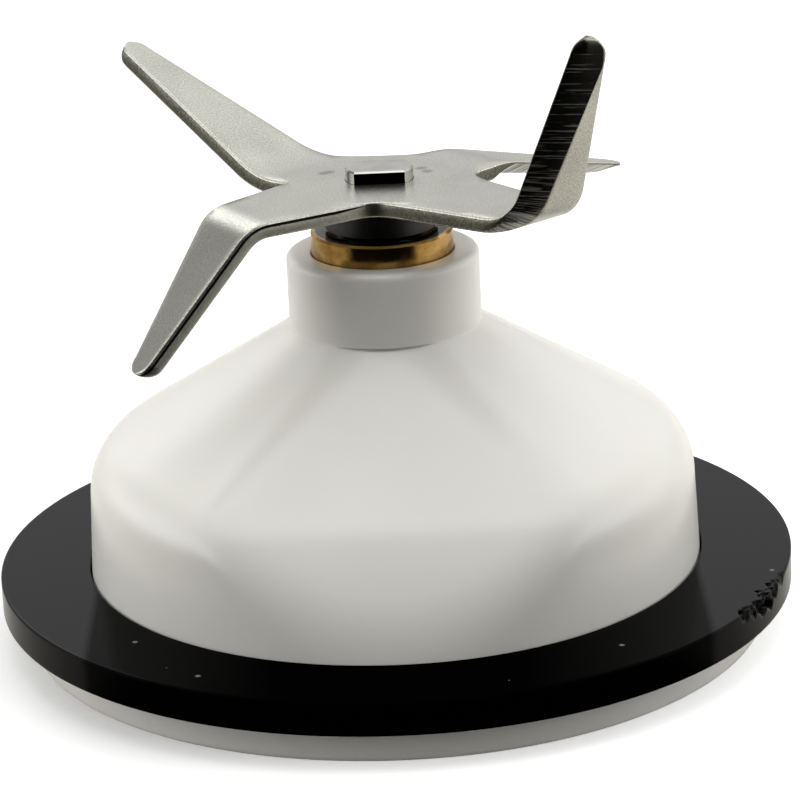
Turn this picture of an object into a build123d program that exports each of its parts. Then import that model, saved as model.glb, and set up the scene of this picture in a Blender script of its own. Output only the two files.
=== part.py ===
"""Blender blade assembly: a domed base with gasket and brass bearings, a shaft and a bent four-arm blade.

Millimetres, +Z up along the shaft, origin at the centre of the flange's underside.
The blade turns clockwise seen from above, so each arm leads with its clockwise edge.
"""

import os
from math import cos, radians, sin, tan

from build123d import *

os.makedirs("parts", exist_ok=True)

# Flange and gasket, both measured outwards from the skirt
flange_width = 6.0
flange_height = 3.6
flange_edge = 0.5
gasket_overhang = 2.6
gasket_thickness = 3.2
gasket_edge = 0.15
gasket_clearance = 0.05

# Skirt, dome and neck of the base moulding
skirt_radius = 29.4
skirt_draft = 0.65
shoulder_height = 17.65
shoulder_round = 6.0
cone_angle = 31.6
neck_radius = 9.1
neck_height = 7.0
neck_round = 0.6
wall = 2.2
tube_wall = 1.9
tube_bottom = 12.0

# Flat facet on the front and back of the dome, and the rounded brow that runs from it down to the gasket
facet_angle = 41.4
brow_depth = 6.0
brow_radius = 34.0
brow_overrun = 0.5
brow_blend = 2.0

# Bearings and seal
bush_radius = 6.7
bush_proud = 2.1
bush_edge = 0.2
bush_fit = 0.02
upper_bush_length = 13.0
lower_bush_length = 8.0
lower_bush_proud = 0.4
running_fit = 0.04
seal_radius = 5.0
seal_depth = 3.4
seal_recess = 0.3
seal_lip = 0.6

# Shaft
shaft_radius = 4.0
tenon_radius = 3.2
tenon_flats = 4.3
tenon_proud = 1.2
tail_radius = 3.1
tail_flats = 4.6
end_chamfer = 0.15
slip_fit = 0.05

# Blade blank and its place
sheet = 1.5
hub_station = 9.0
arm_root = 8.6
bevel_inset = 2.0
bevel_land = 0.2
bevel_runout = 1.5
bend_sections = 5
spacer_height = 2.9
spacer_radius = 5.3
float_gap = 0.35

# Arms of the blade, along and across the flat blank: high ones bend up, and left is as seen from the front
high_left_reach = 31.65
high_left_half_width = 5.0
high_left_half_tip = 1.2
high_left_bend_start = 8.8
high_left_bend_radius = 3.5
high_left_notch = 2.0
low_left_reach = 33.0
low_left_half_width = 5.2
low_left_half_tip = 1.2
low_left_bend_start = 15.6
low_left_bend_radius = 3.5
low_left_notch = 3.6
high_right_reach = 37.8
high_right_half_width = 5.4
high_right_half_tip = 1.4
high_right_bend_start = 17.5
high_right_bend_radius = 4.0
high_right_notch = 2.0
low_right_reach = 29.6
low_right_half_width = 4.4
low_right_half_tip = 1.2
low_right_bend_start = 10.3
low_right_bend_radius = 10.5
low_right_notch = 1.0

# Thrust washers, retaining ring and drive coupling below the lower bush
washer_radius = 6.2
fibre_washer_thickness = 0.8
steel_washer_thickness = 0.8
end_play = 0.1
ring_thickness = 0.8
ring_radius = 6.0
ring_groove = 0.8
ring_gap = 4.4
coupling_radius = 11.0
coupling_height = 7.6
coupling_gap = 0.4
coupling_edge = 0.6
socket_depth = 4.8
socket_radius = 5.4
socket_reach = 7.6
socket_tooth = 3.0
socket_teeth = 6

# Places that follow from the sizes above
flange_radius = skirt_radius + flange_width
gasket_radius = flange_radius + gasket_overhang
shoulder_radius = skirt_radius - skirt_draft
facet_reach = skirt_radius - brow_depth
cone_slope = tan(radians(cone_angle))
neck_foot = shoulder_height + (shoulder_radius - neck_radius) * cone_slope
neck_top = neck_foot + neck_height
bush_top = neck_top + bush_proud
tube_radius = bush_radius + tube_wall
bore_radius = bush_radius + bush_fit
bearing_radius = shaft_radius + running_fit
seal_top = bush_top - seal_recess
blade_bottom = bush_top + float_gap + spacer_height
blade_top = blade_bottom + sheet
shaft_top = blade_top + tenon_proud
lower_bush_bottom = tube_bottom - lower_bush_proud
fibre_washer_bottom = lower_bush_bottom - end_play - fibre_washer_thickness
steel_washer_bottom = fibre_washer_bottom - steel_washer_thickness
ring_bottom = steel_washer_bottom - ring_thickness
coupling_top = ring_bottom - coupling_gap
coupling_bottom = coupling_top - coupling_height
socket_roof = coupling_bottom + socket_depth
far_out = gasket_radius * 2


class Arm:
    """One arm of the blade: where it points, how far it reaches and how it is bent.

    bearing is the azimuth of the bend's normal in degrees, lean turns the arm's own centre line
    from that normal towards the trailing side, and rise is the bend angle, positive upwards.
    notch is how hard the cut between its trailing edge and the next arm pulls in towards the shaft.
    """

    def __init__(self, bearing, lean, rise, reach, half_width, half_tip, bend_start, bend_radius, notch):
        self.bearing = bearing
        self.lean = lean
        self.reach = reach
        self.half_width = half_width
        self.half_tip = half_tip
        self.bend_start = bend_start
        self.bend_radius = bend_radius
        self.rise = rise
        self.notch = notch

    @property
    def bend_end(self):
        return self.bend_start + self.bend_radius * radians(abs(self.rise))

    @property
    def bevel_start(self):
        """Where the ground edge begins: a run-out before the bend, but never on the hub."""
        return max(arm_root, self.bend_start - bevel_runout)

    @property
    def outward(self):
        return Vector(cos(radians(self.bearing)), sin(radians(self.bearing)), 0)

    @property
    def trailing(self):
        return Vector(-sin(radians(self.bearing)), cos(radians(self.bearing)), 0)

    def plane(self, station):
        """Cross-section plane at a distance along the sheet: x to the trailing side, y up."""
        share = (station - self.bend_start) / (self.bend_end - self.bend_start)
        turn = radians(abs(self.rise)) * min(max(share, 0), 1)
        past = max(station - self.bend_end, 0)
        way = 1 if self.rise >= 0 else -1
        along = min(station, self.bend_start) + self.bend_radius * sin(turn) + past * cos(turn)
        up = way * (self.bend_radius * (1 - cos(turn)) + past * sin(turn))
        middle = blade_bottom + sheet / 2
        origin = self.outward * along + Vector(0, 0, middle + up)
        tangent = self.outward * cos(turn) + Vector(0, 0, way * sin(turn))
        return Plane(origin=origin, x_dir=self.trailing, z_dir=tangent)

    @property
    def tip_round(self):
        """Radius of the full round that ends the tapering arm."""
        return self.half_tip / (1 - (self.half_width - self.half_tip) / (self.reach - hub_station))

    @property
    def flap_plane(self):
        """Plane of the bent end through the centre of the tip's round: y outwards."""
        centre = self.reach - self.tip_round
        section = self.plane(centre)
        middle = section.origin + section.x_dir * sum(self.edges(centre)) / 2
        return Plane(origin=middle, x_dir=section.x_dir, z_dir=-section.y_dir)

    def edges(self, station):
        """Offsets of the leading and trailing edges from the bend's normal."""
        taper = (station - hub_station) / (self.reach - hub_station)
        half = self.half_width + (self.half_tip - self.half_width) * taper
        middle = station * tan(radians(self.lean))
        return middle - half, middle + half


high_left = Arm(
    bearing=141.5,
    lean=3.0,
    rise=27.6,
    reach=high_left_reach,
    half_width=high_left_half_width,
    half_tip=high_left_half_tip,
    bend_start=high_left_bend_start,
    bend_radius=high_left_bend_radius,
    notch=high_left_notch,
)
low_left = Arm(
    bearing=211.3,
    lean=7.8,
    rise=-44.5,
    reach=low_left_reach,
    half_width=low_left_half_width,
    half_tip=low_left_half_tip,
    bend_start=low_left_bend_start,
    bend_radius=low_left_bend_radius,
    notch=low_left_notch,
)
high_right = Arm(
    bearing=311.5,
    lean=4.0,
    rise=72.2,
    reach=high_right_reach,
    half_width=high_right_half_width,
    half_tip=high_right_half_tip,
    bend_start=high_right_bend_start,
    bend_radius=high_right_bend_radius,
    notch=high_right_notch,
)
low_right = Arm(
    bearing=42.5,
    lean=-5.0,
    rise=-13.2,
    reach=low_right_reach,
    half_width=low_right_half_width,
    half_tip=low_right_half_tip,
    bend_start=low_right_bend_start,
    bend_radius=low_right_bend_radius,
    notch=low_right_notch,
)
arms = [low_right, high_left, low_left, high_right]


# Facet cutters: a wedge that slices the dome's front and back, and a larger one for the inside
edge_height = neck_foot - (facet_reach - neck_radius) * tan(radians(facet_angle))
facet_top = (-neck_radius, neck_foot)
facet_edge = (-facet_reach, edge_height)
brow_foot = (-skirt_radius - brow_overrun, flange_height + gasket_thickness)

with BuildPart() as facet_cutter:
    with BuildSketch(Plane.YZ) as wedge:
        with BuildLine():
            Line(facet_top, facet_edge)
            RadiusArc(facet_edge, brow_foot, brow_radius)
            Line(brow_foot, (brow_foot[0], neck_foot))
            Line((brow_foot[0], neck_foot), facet_top)
        make_face()
    extrude(amount=skirt_radius, both=True)
    mirror(about=Plane.XZ)

with BuildPart() as inner_cutter:
    with BuildSketch(Plane.YZ):
        add(wedge.sketch_local)
        offset(amount=wall, kind=Kind.INTERSECTION)
    extrude(amount=skirt_radius, both=True)
    mirror(about=Plane.XZ)

# Cavity under the dome, round the bearing tube
ceiling_drop = wall / cos(radians(cone_angle))
inner_shoulder_radius = shoulder_radius - wall
inner_shoulder_height = neck_foot - (inner_shoulder_radius - neck_radius) * cone_slope - ceiling_drop
ceiling_height = neck_foot - (tube_radius - neck_radius) * cone_slope - ceiling_drop

with BuildPart() as cavity:
    with BuildSketch(Plane.XZ):
        with BuildLine():
            Polyline(
                (0, 0),
                (skirt_radius - wall, 0),
                (inner_shoulder_radius, inner_shoulder_height),
                (tube_radius, ceiling_height),
                (tube_radius, tube_bottom),
                (0, tube_bottom),
                close=True,
            )
        make_face()
    revolve(axis=Axis.Z)
    add(inner_cutter.part, mode=Mode.SUBTRACT)

# Base: one white moulding with flange, skirt, dome, neck and bearing tube
with BuildPart() as base:
    with BuildSketch(Plane.XZ) as profile:
        with BuildLine():
            Polyline(
                (0, 0),
                (flange_radius, 0),
                (flange_radius, flange_height),
                (skirt_radius, flange_height),
                (shoulder_radius, shoulder_height),
                (neck_radius, neck_foot),
                (neck_radius, neck_top),
                (0, neck_top),
                close=True,
            )
        make_face()
        shoulder = profile.vertices().sort_by_distance((shoulder_radius, shoulder_height))[0]
        fillet(shoulder, shoulder_round)
        rim = profile.vertices().sort_by_distance((neck_radius, neck_top))[0]
        fillet(rim, neck_round)
        flange_corners = profile.vertices().group_by(Axis.X)[-1]
        fillet(flange_corners, flange_edge)
    revolve(axis=Axis.Z)
    add(facet_cutter.part, mode=Mode.SUBTRACT)
    brow_centre = (facet_reach + skirt_radius) / 2
    rounds = base.faces().filter_by(GeomType.CYLINDER)
    for side in (-brow_centre, brow_centre):
        brow = rounds.sort_by_distance((0, side, edge_height - wall))[0]
        fillet(brow.edges().filter_by(GeomType.LINE, reverse=True), brow_blend)
    add(cavity.part, mode=Mode.SUBTRACT)
    with BuildSketch(Plane.XY):
        Circle(bore_radius)
    extrude(amount=neck_top, mode=Mode.SUBTRACT)
base.part.label = "base"
export_step(base.part, "parts/base.step")

# Gasket: a flat rubber ring that lies on the flange round the skirt
with BuildPart() as gasket:
    with BuildSketch(Plane.XY.offset(flange_height)):
        Circle(gasket_radius)
        Circle(skirt_radius + gasket_clearance, mode=Mode.SUBTRACT)
    extrude(amount=gasket_thickness)
    outer_rims = gasket.edges().filter_by(GeomType.CIRCLE).sort_by(SortBy.RADIUS)[-2:]
    fillet(outer_rims, gasket_edge)
gasket.part.label = "gasket"
export_step(gasket.part, "parts/gasket.step")

# Upper bush: brass, pressed into the neck, with a counterbore for the seal
with BuildPart() as upper_bush:
    with BuildSketch(Plane.XY.offset(bush_top - upper_bush_length)):
        Circle(bush_radius)
        Circle(bearing_radius, mode=Mode.SUBTRACT)
    extrude(amount=upper_bush_length)
    with BuildSketch(Plane.XY.offset(bush_top - seal_depth)):
        Circle(seal_radius)
    extrude(amount=seal_depth, mode=Mode.SUBTRACT)
    chamfer(upper_bush.edges().group_by(Axis.Z)[-1], bush_edge)
upper_bush.part.label = "upper_bush"
export_step(upper_bush.part, "parts/upper_bush.step")

# Lower bush: brass, pressed into the foot of the bearing tube
with BuildPart() as lower_bush:
    with BuildSketch(Plane.XY.offset(lower_bush_bottom)):
        Circle(bush_radius)
        Circle(bearing_radius, mode=Mode.SUBTRACT)
    extrude(amount=lower_bush_length)
    chamfer(lower_bush.edges().group_by(Axis.Z)[0], bush_edge)
lower_bush.part.label = "lower_bush"
export_step(lower_bush.part, "parts/lower_bush.step")

# Shaft seal: a black rubber ring with a raised lip, in the upper bush's counterbore
with BuildPart() as shaft_seal:
    with BuildSketch(Plane.XZ):
        with BuildLine():
            Polyline(
                (bearing_radius, bush_top - seal_depth),
                (seal_radius - bush_fit, bush_top - seal_depth),
                (seal_radius - bush_fit, seal_top - seal_lip),
                (bearing_radius + seal_lip, seal_top - seal_lip),
                (bearing_radius, seal_top),
                close=True,
            )
        make_face()
    revolve(axis=Axis.Z)
shaft_seal.part.label = "shaft_seal"
export_step(shaft_seal.part, "parts/shaft_seal.step")

# Shaft: stepped stainless bar with a flatted tenon for the blade and a flatted tail for the coupling
with BuildPart() as shaft:
    with BuildSketch(Plane.XZ):
        with BuildLine():
            Polyline(
                (0, socket_roof),
                (tail_radius, socket_roof),
                (tail_radius, ring_bottom),
                (shaft_radius - ring_groove, ring_bottom),
                (shaft_radius - ring_groove, ring_bottom + ring_thickness),
                (shaft_radius, ring_bottom + ring_thickness),
                (shaft_radius, blade_bottom),
                (tenon_radius, blade_bottom),
                (tenon_radius, shaft_top),
                (0, shaft_top),
                close=True,
            )
        make_face()
    revolve(axis=Axis.Z)
    with BuildSketch(Plane.XY.offset(blade_bottom)):
        Rectangle(far_out, far_out)
        Rectangle(far_out, tenon_flats, mode=Mode.SUBTRACT)
    extrude(amount=shaft_top - blade_bottom, mode=Mode.SUBTRACT)
    with BuildSketch(Plane.XY.offset(socket_roof)):
        Rectangle(far_out, far_out)
        Rectangle(far_out, tail_flats, mode=Mode.SUBTRACT)
    extrude(amount=coupling_top - socket_roof, mode=Mode.SUBTRACT)
    chamfer(shaft.edges().group_by(Axis.Z)[-1], end_chamfer)
shaft.part.label = "shaft"
export_step(shaft.part, "parts/shaft.step")


def arm_section(arm, station):
    """Corners of the sheet at a station, with the leading edge ground away underneath from the bend on."""
    lead, trail = arm.edges(station)
    inset = bevel_inset * min(max((station - arm.bevel_start) / bevel_runout, 0), 1)
    half = sheet / 2
    land = bevel_land if inset > 0 else sheet / 2
    return [(lead, half), (lead, half - land), (lead + inset, -half), (trail, -half), (trail, half)]


def root_point(arm, side, station):
    """Plan point on an arm's edge; side 0 is the leading edge, 1 the trailing one."""
    point = arm.outward * station + arm.trailing * arm.edges(station)[side]
    return point.X, point.Y


# Blade: one stamped stainless sheet, each arm bent its own way and ground along its leading edge
with BuildPart() as blade:
    with BuildSketch(Plane.XY.offset(blade_bottom)):
        with BuildLine():
            for arm, following in zip(arms, arms[1:] + arms[:1]):
                Line(root_point(arm, 0, arm_root), root_point(arm, 1, arm_root))
                Bezier(
                    root_point(arm, 1, arm_root),
                    root_point(arm, 1, arm_root - arm.notch),
                    root_point(following, 0, arm_root - arm.notch),
                    root_point(following, 0, arm_root),
                )
        make_face()
    extrude(amount=sheet)
    for arm in arms:
        flat_stations = [arm_root, arm.bend_start]
        if arm.bevel_start > arm_root:
            flat_stations.insert(1, arm.bevel_start)
        for station in flat_stations:
            with BuildSketch(arm.plane(station)):
                Polygon(*arm_section(arm, station), align=None)
        loft(ruled=True)
        for step in range(bend_sections):
            station = arm.bend_start + (arm.bend_end - arm.bend_start) * step / (bend_sections - 1)
            with BuildSketch(arm.plane(station)):
                Polygon(*arm_section(arm, station), align=None)
        loft()
        for station in (arm.bend_end, arm.reach):
            with BuildSketch(arm.plane(station)):
                Polygon(*arm_section(arm, station), align=None)
        loft(ruled=True)
        with BuildSketch(arm.flap_plane):
            Rectangle(arm.half_width, arm.tip_round * 2, align=(Align.CENTER, Align.MIN))
            Circle(arm.tip_round, mode=Mode.SUBTRACT)
        extrude(amount=sheet, both=True, mode=Mode.SUBTRACT)
    with BuildSketch(Plane.XY.offset(blade_bottom)):
        Circle(tenon_radius + slip_fit)
        Rectangle(far_out, tenon_flats + slip_fit * 2, mode=Mode.INTERSECT)
    extrude(amount=sheet, mode=Mode.SUBTRACT)
blade.part.label = "blade"
export_step(blade.part, "parts/blade.step")

# Blade spacer: a black collar that turns with the shaft and shields the seal below it
with BuildPart() as blade_spacer:
    with BuildSketch(Plane.XY.offset(blade_bottom - spacer_height)):
        Circle(spacer_radius)
        Circle(shaft_radius + slip_fit, mode=Mode.SUBTRACT)
    extrude(amount=spacer_height)
blade_spacer.part.label = "blade_spacer"
export_step(blade_spacer.part, "parts/blade_spacer.step")

# Thrust washers: fibre against the lower bush, steel against the retaining ring
with BuildPart() as fibre_washer:
    with BuildSketch(Plane.XY.offset(fibre_washer_bottom)):
        Circle(washer_radius)
        Circle(shaft_radius + slip_fit, mode=Mode.SUBTRACT)
    extrude(amount=fibre_washer_thickness)
fibre_washer.part.label = "fibre_washer"
export_step(fibre_washer.part, "parts/fibre_washer.step")

with BuildPart() as steel_washer:
    with BuildSketch(Plane.XY.offset(steel_washer_bottom)):
        Circle(washer_radius)
        Circle(shaft_radius + slip_fit, mode=Mode.SUBTRACT)
    extrude(amount=steel_washer_thickness)
steel_washer.part.label = "steel_washer"
export_step(steel_washer.part, "parts/steel_washer.step")

# Retaining ring: a spring steel clip in the shaft's groove, open on one side
with BuildPart() as retaining_ring:
    with BuildSketch(Plane.XY.offset(ring_bottom)):
        Circle(ring_radius)
        Circle(shaft_radius - ring_groove + slip_fit, mode=Mode.SUBTRACT)
        Rectangle(ring_radius * 2, ring_gap, align=(Align.MIN, Align.CENTER), mode=Mode.SUBTRACT)
    extrude(amount=ring_thickness)
retaining_ring.part.label = "retaining_ring"
export_step(retaining_ring.part, "parts/retaining_ring.step")

# Drive coupling: black nylon, pressed on the shaft's tail, with a toothed socket for the motor's drive
with BuildPart() as drive_coupling:
    with BuildSketch(Plane.XY.offset(coupling_bottom)):
        Circle(coupling_radius)
    extrude(amount=coupling_height)
    chamfer(drive_coupling.edges(), coupling_edge)
    with BuildSketch(Plane.XY.offset(coupling_bottom)):
        Circle(socket_radius)
        with PolarLocations(0, socket_teeth):
            Rectangle(socket_reach, socket_tooth, align=(Align.MIN, Align.CENTER))
    extrude(amount=socket_depth, mode=Mode.SUBTRACT)
    with BuildSketch(Plane.XY.offset(socket_roof)):
        Circle(tail_radius + slip_fit)
        Rectangle(far_out, tail_flats + slip_fit * 2, mode=Mode.INTERSECT)
    extrude(amount=coupling_top - socket_roof, mode=Mode.SUBTRACT)
drive_coupling.part.label = "drive_coupling"
export_step(drive_coupling.part, "parts/drive_coupling.step")
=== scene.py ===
# %% [markdown]
# # A blender blade assembly
# This part closes the bottom of a blender's jar. A glossy white moulding carries a black gasket, and a
# shaft runs up through a brass bush to a stainless blade with four bent arms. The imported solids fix
# the sizes and places, so this lesson dresses them: it reads the frame, gives each piece its finish,
# and models again the three pieces whose soft edges and wear the camera comes close to.

# %% Load the frame
import math

import bmesh
import bpy
import numpy as np
from mathutils import Matrix, Vector, noise


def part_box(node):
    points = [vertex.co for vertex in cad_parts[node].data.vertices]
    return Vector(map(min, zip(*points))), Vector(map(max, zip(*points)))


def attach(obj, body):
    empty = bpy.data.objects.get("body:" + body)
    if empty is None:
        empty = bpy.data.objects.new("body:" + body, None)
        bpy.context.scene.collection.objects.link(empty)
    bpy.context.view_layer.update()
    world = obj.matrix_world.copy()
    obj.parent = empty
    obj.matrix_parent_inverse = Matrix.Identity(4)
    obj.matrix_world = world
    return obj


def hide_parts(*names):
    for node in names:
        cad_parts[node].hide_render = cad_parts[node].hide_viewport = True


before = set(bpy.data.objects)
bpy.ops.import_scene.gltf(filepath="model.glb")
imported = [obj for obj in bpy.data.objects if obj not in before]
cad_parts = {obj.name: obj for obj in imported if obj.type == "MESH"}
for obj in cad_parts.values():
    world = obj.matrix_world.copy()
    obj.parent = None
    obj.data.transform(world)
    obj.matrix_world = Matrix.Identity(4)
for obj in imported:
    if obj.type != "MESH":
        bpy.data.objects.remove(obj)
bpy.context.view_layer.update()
mm = 0.001

# %% [markdown]
# ## Four helpers
# Colours are written as screen hex codes, which is how a person reads them off a picture, and Blender
# wants linear light, so one function turns the first into the second. A pattern's scale is a count
# per metre, so a second function takes the size of one grain or line in millimetres. The third adds a
# node, sets it and links it, and the last starts an empty material. With them every finish stays short
# enough to read in one go.


# %% Colour, pattern scale, node and material
def srgb(code):
    """Linear red, green, blue and alpha of a screen colour such as #E9E7E2."""
    channels = [int(code[i:i + 2], 16) / 255 for i in (1, 3, 5)]
    linear = [c / 12.92 if c <= 0.04045 else ((c + 0.055) / 1.055) ** 2.4 for c in channels]
    return (*linear, 1.0)


def per(size):
    """Scale of a pattern whose grain or line is this many millimetres across."""
    return 1 / (size * mm)


def add(tree, kind, inputs=None, **settings):
    """Adds one shader node. An input is a value, a socket, or a node, which gives its first output."""
    node = tree.nodes.new("ShaderNode" + kind)
    for name, value in settings.items():
        setattr(node, name, value)
    for name, value in (inputs or {}).items():
        if isinstance(value, bpy.types.Node):
            value = next(socket for socket in value.outputs if socket.enabled)
        if isinstance(value, bpy.types.NodeSocket):
            tree.links.new(value, node.inputs[name])
        else:
            node.inputs[name].default_value = value
    return node


def new_material(name):
    """An empty node material and its tree."""
    material = bpy.data.materials.new(name)
    material.use_nodes = True
    material.node_tree.nodes.clear()
    return material, material.node_tree


print("white reads as", [round(c, 3) for c in srgb("#E9E7E2")])

# %% [markdown]
# ## White polypropylene
# The base is injection moulded from white polypropylene in a polished tool, so it is smooth and
# glossy, a little translucent, and faintly wavy like orange peel. Use has left hairline scratches that
# only show in a reflection. The hairlines are the contour lines of a noise, cut short by a second
# noise: they wander as real ones do, where a scratch texture made of straight lines would repeat.


# %% White polypropylene
def polypropylene():
    """Glossy warm white with orange peel, hairlines and a little light inside."""
    material, tree = new_material("white_polypropylene")
    place = add(tree, "TexCoord").outputs["Object"]
    cloud = add(tree, "TexNoise", {"Vector": place, "Scale": per(14), "Detail": 4})
    tone = add(tree, "Mix", {"Factor": cloud, "A": srgb("#ECEBE5"), "B": srgb("#E4E2DA")}, data_type="RGBA")
    rough = add(tree, "MapRange", {"Value": cloud, "To Min": 0.2, "To Max": 0.28})
    peel = add(tree, "TexNoise", {"Vector": place, "Scale": per(1.6), "Detail": 1})
    wander = add(tree, "TexNoise", {"Vector": place, "Scale": per(7), "Detail": 2, "Distortion": 1.2})
    line = add(tree, "Math", {0: wander, 1: 0.5, 2: 0.004}, operation="COMPARE")
    patch = add(tree, "TexNoise", {"Vector": place, "Scale": per(4), "Detail": 3})
    short = add(tree, "Math", {0: patch, 1: 0.58}, operation="GREATER_THAN")
    scratch = add(tree, "Math", {0: line, 1: short}, operation="MULTIPLY")
    wave = add(tree, "Bump", {"Strength": 0.05, "Distance": 0.05 * mm, "Height": peel})
    cut = add(tree, "Bump", {"Strength": 0.12, "Distance": 0.02 * mm, "Height": scratch,
                             "Normal": wave}, invert=True)
    shader = add(tree, "BsdfPrincipled", {
        "Base Color": tone, "Roughness": rough, "IOR": 1.49, "Normal": cut, "Subsurface Weight": 0.25,
        "Subsurface Radius": (1.0, 0.95, 0.85), "Subsurface Scale": 1.5 * mm})
    add(tree, "OutputMaterial", {"Surface": shader})
    return material


white_polypropylene = polypropylene()
print("made", white_polypropylene.name)

# %% [markdown]
# ## Black rubber
# The gasket is moulded nitrile rubber, smooth where the jar has pressed on it. Rubber takes up nearly all
# light, so what the eye sees is a soft sheen at a low angle and the lint that sticks to it. The lint is a
# scatter of tiny cells, kept only where a second noise allows, with four larger flecks at given places. At
# the front the shine is drawn down on both sides of the middle, as painted shade for the dark reflection
# there, with a step where the skirt's mirror image ends. A dark paint would not do, because the black of
# this rubber is already as deep as black gets.


# %% Flecks and a front of painted shade
def near(tree, place, points, radius):
    """Mask that is 1 close to any of the points and 0 beyond a radius, all in mm."""
    mask = 0.0
    for point in points:
        gap = add(tree, "VectorMath", {0: place, 1: [v * mm for v in point]}, operation="DISTANCE")
        spot = add(tree, "MapRange", {"Value": gap, "From Min": 0.5 * radius * mm,
                                      "From Max": radius * mm, "To Min": 1.0, "To Max": 0.0})
        mask = add(tree, "Math", {0: mask, 1: spot}, operation="MAXIMUM")
    return mask


def painted_dark_front(tree, place, sheen, half):
    """Sheen drawn down within this many mm to each side of the front, first in a step, then slowly: painted
    shade.
    """
    across, ahead, _ = add(tree, "SeparateXYZ", {0: place}).outputs
    off = add(tree, "Math", {0: across}, operation="ABSOLUTE")
    slow = add(tree, "MapRange", {"Value": off, "From Min": 0.4 * half * mm,
                                  "From Max": half * mm, "To Max": 0.25 * sheen})
    step = add(tree, "MapRange", {"Value": off, "From Min": half * mm,
                                  "From Max": (half + 0.8) * mm, "To Max": 0.75 * sheen})
    kept = add(tree, "Math", {0: slow, 1: step})
    behind = add(tree, "Math", {0: ahead, 1: 0.0}, operation="GREATER_THAN")
    return add(tree, "Mix", {"Factor": behind, "A": kept, "B": sheen})


lint_specks = [(35.22, -10.54, 6.8), (-24.01, -21.53, 6.8), (-17.95, -30.10, 6.8), (19.94, -27.17, 6.8)]
print(len(lint_specks), "large flecks")

# %% [markdown]
# ## One rubber for gasket and seal
# The gasket and the hidden seal differ only in shine, colour and lint, so one function makes both. Its grain
# is the skin of the mould, drawn coarser than real at 0.4 mm, and a smear some 9 mm wide makes the shine
# uneven.


# %% Black rubber
def rubber(name, colour, low, high, sheen, specks=(), dark_front_half=0.0):
    """Near-black rubber with a fine moulded grain, uneven sheen, pale lint and, if asked, a front of painted
    shade.
    """
    material, tree = new_material(name)
    place = add(tree, "TexCoord").outputs["Object"]
    grain = add(tree, "TexNoise", {"Vector": place, "Scale": per(0.4), "Detail": 2})
    smear = add(tree, "TexNoise", {"Vector": place, "Scale": per(9), "Detail": 3})
    rough = add(tree, "MapRange", {"Value": smear, "To Min": low, "To Max": high})
    cell = add(tree, "TexVoronoi", {"Vector": place, "Scale": per(2.4)})
    fleck = add(tree, "Math", {0: cell, 1: 0.035}, operation="LESS_THAN")
    where = add(tree, "TexNoise", {"Vector": place, "Scale": per(6), "Detail": 2})
    few = add(tree, "Math", {0: where, 1: 0.6}, operation="GREATER_THAN")
    lint = add(tree, "Math", {0: fleck, 1: few, 2: near(tree, place, specks, 0.3)},
               operation="MULTIPLY_ADD")
    tone = add(tree, "Mix", {"Factor": lint, "A": srgb(colour), "B": srgb("#6E6C66")}, data_type="RGBA")
    skin = add(tree, "Bump", {"Strength": 0.08, "Distance": 0.03 * mm, "Height": grain})
    # If asked, the sheen at the front is drawn down as painted shade, standing in for a dark reflection.
    shader = add(tree, "BsdfPrincipled", {
        "Base Color": tone, "Roughness": rough, "IOR": 1.5, "Normal": skin,
        "Specular IOR Level": painted_dark_front(tree, place, sheen, dark_front_half) if dark_front_half else sheen})
    add(tree, "OutputMaterial", {"Surface": shader})
    return material


# The gasket's front sheen is drawn down as painted shade.
gasket_rubber = rubber("gasket_nitrile_rubber", "#020202", 0.1, 0.17, 0.05, lint_specks, 28.0)
seal_rubber = rubber("seal_nitrile_rubber", "#060606", 0.3, 0.42, 0.2)
print("made", gasket_rubber.name, "and", seal_rubber.name)

# %% [markdown]
# ## Brass
# The bushes are turned from brass bar. The lathe leaves fine rings round the axis, handling leaves a brown
# tarnish in patches, and the upper face is near-black inside its rim. A wave texture along the
# axis gives the rings: their real pitch of about 0.1 mm is too fine for the picture, so they are drawn at
# 0.3 mm. The dark ring goes where the face looks up, so the turned side stays bright without a mask by hand.


# %% Brass
def brass():
    """Turned brass: golden metal, rings round the axis, brown tarnish, a near-black ring on top."""
    material, tree = new_material("turned_brass")
    dark_ring_edge = 6.2 * mm, 6.35 * mm
    solid = add(tree, "TexCoord")
    place = solid.outputs["Object"]
    stain = add(tree, "TexNoise", {"Vector": place, "Scale": per(1.8), "Detail": 5, "Roughness": 0.65})
    fade = add(tree, "MapRange", {"Value": stain, "From Min": 0.35, "From Max": 0.7})
    tone = add(tree, "Mix", {"Factor": fade, "A": srgb("#BE995A"), "B": srgb("#8A6430")}, data_type="RGBA")
    rough = add(tree, "MapRange", {"Value": fade, "To Min": 0.12, "To Max": 0.26})
    # The upper face is near-black inside its rim.
    upward = add(tree, "SeparateXYZ", {0: solid.outputs["Normal"]}).outputs["Z"]
    top_face = add(tree, "Math", {0: upward, 1: 0.9}, operation="GREATER_THAN")
    level = add(tree, "VectorMath", {0: place, 1: (1, 1, 0)}, operation="MULTIPLY")
    off = add(tree, "VectorMath", {0: level}, operation="LENGTH")
    within = add(tree, "MapRange", {"Value": off, "From Min": dark_ring_edge[0], "From Max": dark_ring_edge[1],
                                    "To Min": 1.0, "To Max": 0.0})
    dark_ring = add(tree, "Math", {0: top_face, 1: within}, operation="MULTIPLY")
    tone = add(tree, "Mix", {"Factor": dark_ring, "A": tone, "B": srgb("#0A0705")}, data_type="RGBA")
    rings = add(tree, "TexWave", {"Vector": place, "Scale": per(0.3) / math.tau,
                                  "Distortion": 0.6, "Detail": 1}, bands_direction="Z")
    ridges = add(tree, "Bump", {"Strength": 0.06, "Distance": 0.01 * mm, "Height": rings.outputs["Fac"]})
    shader = add(tree, "BsdfPrincipled", {
        "Base Color": tone, "Metallic": 1.0, "Roughness": rough, "Normal": ridges})
    add(tree, "OutputMaterial", {"Surface": shader})
    return material


turned_brass = brass()
print("made", turned_brass.name)
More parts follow.
